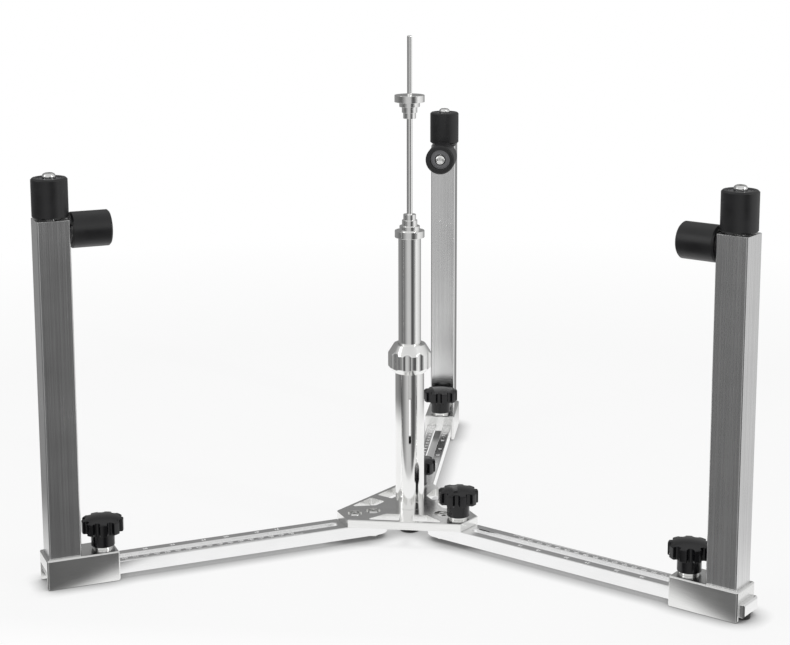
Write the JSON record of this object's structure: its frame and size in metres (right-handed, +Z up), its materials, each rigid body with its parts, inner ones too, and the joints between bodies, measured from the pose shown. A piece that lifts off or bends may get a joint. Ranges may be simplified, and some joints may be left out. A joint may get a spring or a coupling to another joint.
{
  "type": "wheel lacing stand",
  "caption": "Folding bench stand that carries a bicycle rim flat on rollers at the tops of its posts while the hub is held at the right height on a collet-clamped centre column.",
  "frame": {"origin": "on the column axis, at the surface that the feet stand on", "axes": "+Z up along the column, +Y along the back arm, +X to the right as seen from the open front"},
  "size_m": [0.6372, 0.5549, 0.4815],
  "materials": {
    "milled_aluminium": "milled",
    "arm_aluminium": "satin",
    "extruded_aluminium": "extruded",
    "polished_aluminium": "polished",
    "bright_steel": "bright",
    "roller_plastic": "matte",
    "knob_plastic": "gloss",
    "foot_rubber": "matte"
  },
  "bodies": {
    "base": {"centre_plate": "milled_aluminium", "left_arm": "arm_aluminium", "arm_screws": "bright_steel", "arm_nuts": "bright_steel", "column_tube": "polished_aluminium", "column_plug": "polished_aluminium", "column_bolt": "bright_steel", "centre_foot": "foot_rubber", "left_foot": "foot_rubber"},
    "right_arm": {"right_arm": "arm_aluminium", "right_foot": "foot_rubber"},
    "back_arm": {"back_arm": "arm_aluminium", "back_foot": "foot_rubber"},
    "left_slider": {"left_slider": "milled_aluminium", "left_tee_nut": "bright_steel", "left_post": "extruded_aluminium", "left_post_screws": "bright_steel", "left_axles": "bright_steel", "left_washers": "bright_steel"},
    "right_slider": {"right_slider": "milled_aluminium", "right_tee_nut": "bright_steel", "right_post": "extruded_aluminium", "right_post_screws": "bright_steel", "right_axles": "bright_steel", "right_washers": "bright_steel"},
    "back_slider": {"back_slider": "milled_aluminium", "back_tee_nut": "bright_steel", "back_post": "extruded_aluminium", "back_post_screws": "bright_steel", "back_axles": "bright_steel", "back_washers": "bright_steel"},
    "left_edge_roller": {"left_edge_roller": "roller_plastic", "left_edge_bearings": "bright_steel"},
    "left_rest_roller": {"left_rest_roller": "roller_plastic", "left_rest_bearings": "bright_steel"},
    "right_edge_roller": {"right_edge_roller": "roller_plastic", "right_edge_bearings": "bright_steel"},
    "right_rest_roller": {"right_rest_roller": "roller_plastic", "right_rest_bearings": "bright_steel"},
    "back_edge_roller": {"back_edge_roller": "roller_plastic", "back_edge_bearings": "bright_steel"},
    "back_rest_roller": {"back_rest_roller": "roller_plastic", "back_rest_bearings": "bright_steel"},
    "left_slider_knob": {"left_slider_knob": "knob_plastic", "left_slider_stud": "bright_steel"},
    "right_slider_knob": {"right_slider_knob": "knob_plastic", "right_slider_stud": "bright_steel"},
    "back_slider_knob": {"back_slider_knob": "knob_plastic", "back_slider_stud": "bright_steel"},
    "right_lock_knob": {"right_lock_knob": "knob_plastic", "right_lock_stud": "bright_steel"},
    "back_lock_knob": {"back_lock_knob": "knob_plastic", "back_lock_stud": "bright_steel"},
    "collet_nut": {"collet_nut": "polished_aluminium"},
    "height_rod": {"height_rod": "polished_aluminium", "hub_seat": "polished_aluminium", "axle_rod": "bright_steel"},
    "centring_cone": {"centring_cone": "polished_aluminium"}
  },
  "joints": [
    {"name": "right_fold", "type": "hinge", "parent": "base", "child": "right_arm", "pos_m": [0.03335, -0.01926, 0.011], "axis": [0, 0, -1], "range_deg": [0, 120]},
    {"name": "back_fold", "type": "hinge", "parent": "base", "child": "back_arm", "pos_m": [0, 0.03851, 0.011], "axis": [0, 0, 1], "range_deg": [0, 120]},
    {"name": "left_slide", "type": "slide", "parent": "base", "child": "left_slider", "axis": [-0.866, -0.5, 0], "range_m": [-0.2, 0]},
    {"name": "right_slide", "type": "slide", "parent": "right_arm", "child": "right_slider", "axis": [0.866, -0.5, 0], "range_m": [-0.2, 0]},
    {"name": "back_slide", "type": "slide", "parent": "back_arm", "child": "back_slider", "axis": [0, 1, 0], "range_m": [-0.2, 0]},
    {"name": "left_slider_knob_turn", "type": "hinge", "parent": "left_slider", "child": "left_slider_knob", "pos_m": [-0.26241, -0.1515, 0.044], "axis": [0, 0, 1], "range_deg": [0, 360]},
    {"name": "right_slider_knob_turn", "type": "hinge", "parent": "right_slider", "child": "right_slider_knob", "pos_m": [0.26241, -0.1515, 0.044], "axis": [0, 0, 1], "range_deg": [0, 360]},
    {"name": "back_slider_knob_turn", "type": "hinge", "parent": "back_slider", "child": "back_slider_knob", "pos_m": [0, 0.303, 0.044], "axis": [0, 0, 1], "range_deg": [0, 360]},
    {"name": "right_lock_knob_turn", "type": "hinge", "parent": "base", "child": "right_lock_knob", "pos_m": [0.0498, -0.02875, 0.041], "axis": [0, 0, 1], "range_deg": [0, 360]},
    {"name": "back_lock_knob_turn", "type": "hinge", "parent": "base", "child": "back_lock_knob", "pos_m": [0, 0.05751, 0.041], "axis": [0, 0, 1], "range_deg": [0, 360]},
    {"name": "left_edge_roller_spin", "type": "hinge", "parent": "left_slider", "child": "left_edge_roller", "pos_m": [-0.29445, -0.17, 0.352], "axis": [0, 0, 1], "continuous": true},
    {"name": "left_rest_roller_spin", "type": "hinge", "parent": "left_slider", "child": "left_rest_roller", "pos_m": [-0.265, -0.153, 0.322], "axis": [0.866, 0.5, 0], "continuous": true},
    {"name": "right_edge_roller_spin", "type": "hinge", "parent": "right_slider", "child": "right_edge_roller", "pos_m": [0.29445, -0.17, 0.352], "axis": [0, 0, 1], "continuous": true},
    {"name": "right_rest_roller_spin", "type": "hinge", "parent": "right_slider", "child": "right_rest_roller", "pos_m": [0.265, -0.153, 0.322], "axis": [-0.866, 0.5, 0], "continuous": true},
    {"name": "back_edge_roller_spin", "type": "hinge", "parent": "back_slider", "child": "back_edge_roller", "pos_m": [0, 0.34, 0.352], "axis": [0, 0, 1], "continuous": true},
    {"name": "back_rest_roller_spin", "type": "hinge", "parent": "back_slider", "child": "back_rest_roller", "pos_m": [0, 0.306, 0.322], "axis": [0, -1, 0], "continuous": true},
    {"name": "collet_nut_turn", "type": "hinge", "parent": "base", "child": "collet_nut", "pos_m": [0, 0, 0.1735], "axis": [0, 0, 1], "range_deg": [0, 180]},
    {"name": "rod_height", "type": "slide", "parent": "base", "child": "height_rod", "axis": [0, 0, 1], "range_m": [-0.085, 0.02]},
    {"name": "cone_slide", "type": "slide", "parent": "height_rod", "child": "centring_cone", "axis": [0, 0, 1], "range_m": [-0.09, 0.05]}
  ]
}
